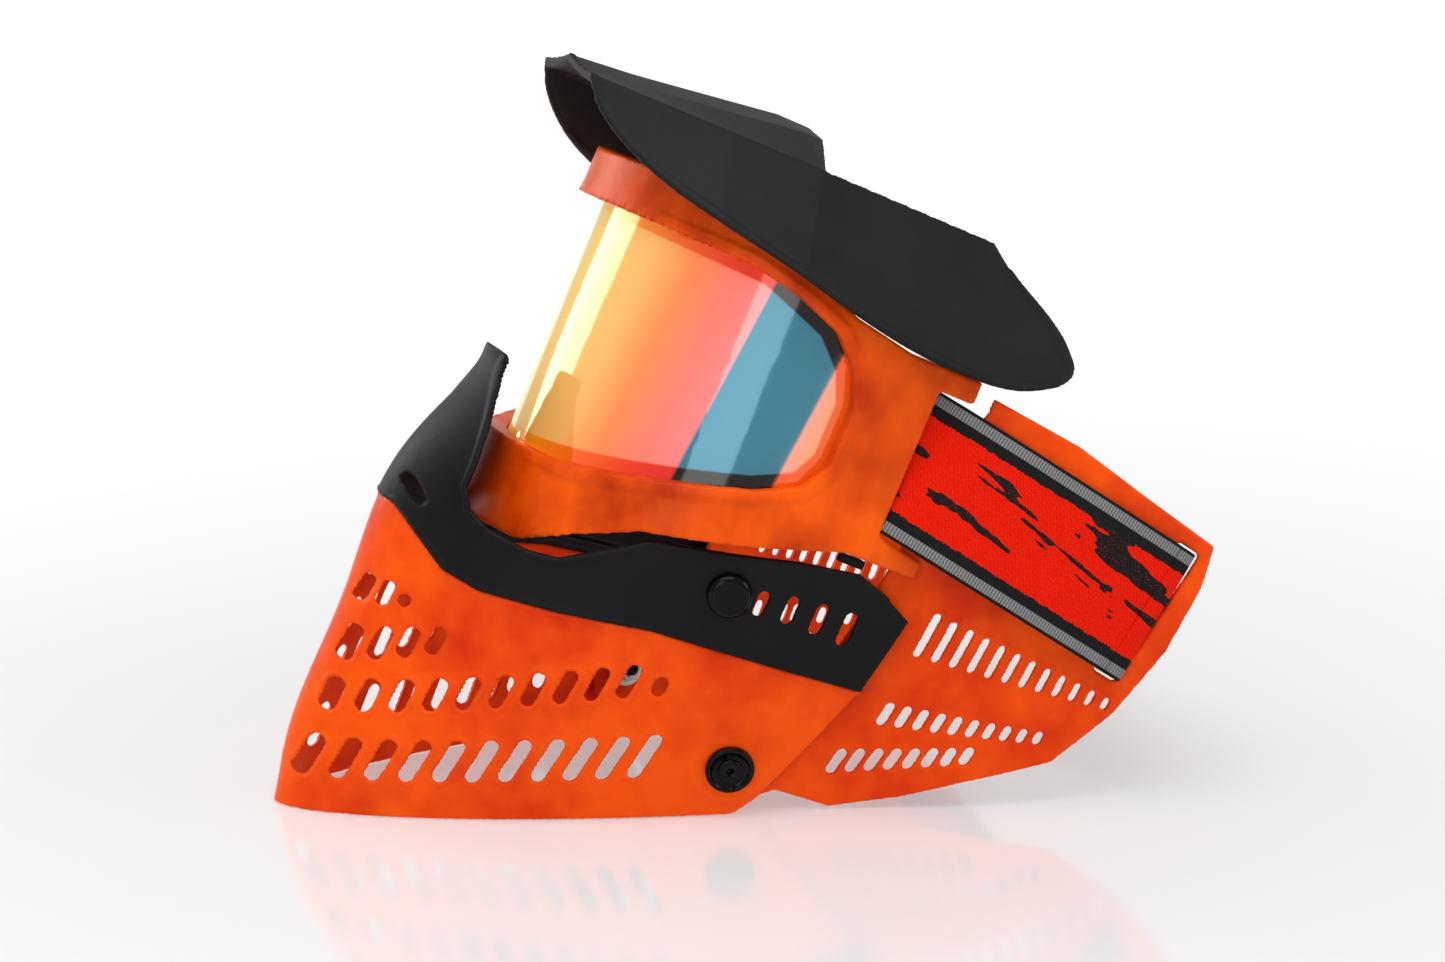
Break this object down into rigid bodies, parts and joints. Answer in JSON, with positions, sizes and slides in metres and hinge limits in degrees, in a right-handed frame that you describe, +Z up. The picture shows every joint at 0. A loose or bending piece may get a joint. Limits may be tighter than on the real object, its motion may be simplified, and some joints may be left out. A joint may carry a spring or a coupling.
{
  "type": "paintball mask",
  "caption": "Full-face goggle mask with wrap-around mirrored lens, vented nose, chin and ear guards, clip-on visor and elastic head strap.",
  "frame": {"origin": "on the surface the mask stands on, under the middle of its bounding box", "axes": "+X to the wearer's left, -Y the way the mask faces, +Z up; the mask stands on its chin rim, leaning back 24 degrees"},
  "size_m": [0.198, 0.3051, 0.2516],
  "materials": {
    "orange_shell": "satin translucent moulded polymer",
    "black_matte": "matte moulded polymer",
    "black_gloss": "polished moulded polymer",
    "lens_mirror": "mirror coated polycarbonate",
    "lens_clear": "clear polycarbonate",
    "gasket": "closed-cell sealing tape",
    "foam": "soft fleece-faced foam",
    "steel": "plated steel",
    "webbing": "woven elastic webbing"
  },
  "bodies": {
    "mask": {"cheek_guard": "black_matte", "chin_guard": "orange_shell", "ear_nut_left": "steel", "ear_nut_right": "steel", "ear_root_left": "orange_shell", "ear_root_right": "orange_shell", "ear_screw_left": "black_gloss", "ear_screw_right": "black_gloss", "ear_washer_left": "steel", "ear_washer_right": "steel", "face_foam": "foam", "foam_base": "foam", "frame_clip_left": "black_matte", "frame_clip_right": "black_matte", "goggle_frame": "orange_shell", "lens_gasket": "gasket", "lens_inner": "lens_clear", "lens_outer": "lens_mirror", "snap_socket_left": "black_matte", "snap_socket_right": "black_matte", "strap_back_left": "webbing", "strap_back_right": "webbing", "strap_bar_left": "steel", "strap_bar_right": "steel", "strap_front_left": "webbing", "strap_front_right": "webbing"},
    "visor": {"visor": "black_matte", "visor_clip_left": "black_matte", "visor_clip_right": "black_matte"},
    "ear_flap_left": {"ear_guard_left": "orange_shell", "strap_side_left": "webbing"},
    "ear_flap_right": {"ear_guard_right": "orange_shell", "strap_side_right": "webbing"},
    "button_left": {"snap_button_left": "black_gloss"},
    "button_right": {"snap_button_right": "black_gloss"},
    "slider_left": {"strap_slider_left": "black_matte"},
    "slider_right": {"strap_slider_right": "black_matte"}
  },
  "joints": [
    {"name": "visor_pull", "type": "slide", "parent": "mask", "child": "visor", "axis": [0, 0.4067, 0.9135], "range_m": [0, 0.05]},
    {"name": "ear_flex_left", "type": "hinge", "parent": "mask", "child": "ear_flap_left", "pos_m": [0.097, 0.05119, 0.06861], "axis": [0, -0.4067, -0.9135], "range_deg": [0, 12], "stiffness_Nm_per_rad": 0.8},
    {"name": "ear_flex_right", "type": "hinge", "parent": "mask", "child": "ear_flap_right", "pos_m": [-0.097, 0.05119, 0.06861], "axis": [0, 0.4067, 0.9135], "range_deg": [0, 12], "stiffness_Nm_per_rad": 0.8},
    {"name": "button_pull_left", "type": "slide", "parent": "mask", "child": "button_left", "axis": [0.9632, -0.2674, -0.0254], "range_m": [0, 0.009]},
    {"name": "button_pull_right", "type": "slide", "parent": "mask", "child": "button_right", "axis": [-0.9632, -0.2674, -0.0254], "range_m": [0, 0.009]},
    {"name": "slider_shift_left", "type": "slide", "parent": "mask", "child": "slider_left", "axis": [1, 0, 0], "range_m": [-0.028, 0.018]},
    {"name": "slider_shift_right", "type": "slide", "parent": "mask", "child": "slider_right", "axis": [-1, 0, 0], "range_m": [-0.028, 0.018]}
  ]
}
